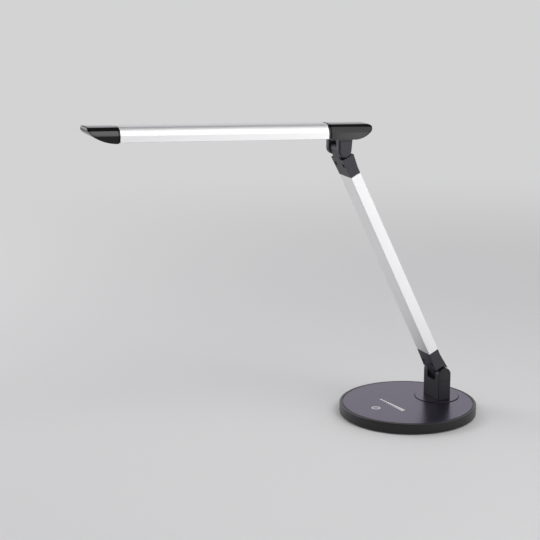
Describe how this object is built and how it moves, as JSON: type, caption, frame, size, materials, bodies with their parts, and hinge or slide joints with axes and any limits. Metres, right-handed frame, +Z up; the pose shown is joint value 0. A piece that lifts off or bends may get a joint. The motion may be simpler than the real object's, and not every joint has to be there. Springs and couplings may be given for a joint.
{
  "type": "folding table lamp",
  "caption": "Folding LED table lamp: a round weighted base with a touch key, a swivelling post, a hinged flat arm and a hinged light bar that folds down over the base.",
  "frame": {"origin": "middle of the base's resting face", "axes": "+Z up; +X from the touch key's side of the base towards the swivel and the power inlet; +Y follows"},
  "size_m": [0.5274, 0.18, 0.4131],
  "materials": {
    "shell_plastic": "satin black moulding",
    "panel_gloss": "glossy black panel",
    "weight_iron": "plain iron plate",
    "pad_rubber": "matt black foam rubber",
    "board_green": "solder-masked circuit board",
    "contact_brass": "bright contact metal",
    "inlet_plastic": "matt black moulding",
    "fastener_steel": "zinc-plated steel",
    "dark_steel": "blackened steel",
    "hinge_grey": "dark grey fine-textured moulding",
    "anodised_aluminium": "satin anodised",
    "washer_nylon": "black acetal",
    "lead_sheath": "soft black sheath",
    "diffuser_opal": "milky diffuser",
    "board_white": "white solder-masked metal-cored board",
    "chip_yellow": "phosphor-coated chips",
    "cap_gloss": "glossy black moulding"
  },
  "bodies": {
    "base": {"base_shell": "shell_plastic", "base_top_panel": "panel_gloss", "base_weight": "weight_iron", "anti_slip_pad": "pad_rubber", "control_board": "board_green", "touch_electrode": "contact_brass", "dc_inlet_housing": "inlet_plastic", "dc_inlet_pin": "contact_brass"},
    "post": {"turntable": "panel_gloss", "stop_washer": "fastener_steel", "swivel_nut": "fastener_steel", "hinge_post": "hinge_grey", "lower_hinge_bolt": "fastener_steel", "lower_hinge_nut": "fastener_steel", "lower_ear_covers": "hinge_grey"},
    "arm": {"arm_tube": "anodised_aluminium", "lower_sleeve": "hinge_grey", "upper_sleeve": "hinge_grey", "lower_tongue": "hinge_grey", "upper_tongue": "hinge_grey", "set_screws": "dark_steel", "friction_washers": "washer_nylon", "arm_lead": "lead_sheath"},
    "head": {"head_profile": "anodised_aluminium", "diffuser": "diffuser_opal", "led_board": "board_white", "led_chips": "chip_yellow", "nose_cap": "cap_gloss", "rear_cap": "cap_gloss", "head_yoke": "hinge_grey", "yoke_screw": "fastener_steel", "head_lead": "lead_sheath", "upper_hinge_bolt": "fastener_steel", "upper_hinge_nut": "fastener_steel", "upper_ear_covers": "hinge_grey"}
  },
  "joints": [
    {"name": "base_swivel", "type": "hinge", "parent": "base", "child": "post", "pos_m": [0.0469, 0, 0], "axis": [0, 0, 1], "range_deg": [-85.3, 94.7]},
    {"name": "arm_fold", "type": "hinge", "parent": "post", "child": "arm", "pos_m": [0.0469, 0, 0.0494], "axis": [-0.0819, -0.9966, 0], "range_deg": [-45.9, 64.1]},
    {"name": "head_fold", "type": "hinge", "parent": "arm", "child": "head", "pos_m": [-0.1039, 0.0124, 0.36101], "axis": [-0.0819, -0.9966, 0], "range_deg": [-60.8, 119.2]}
  ]
}
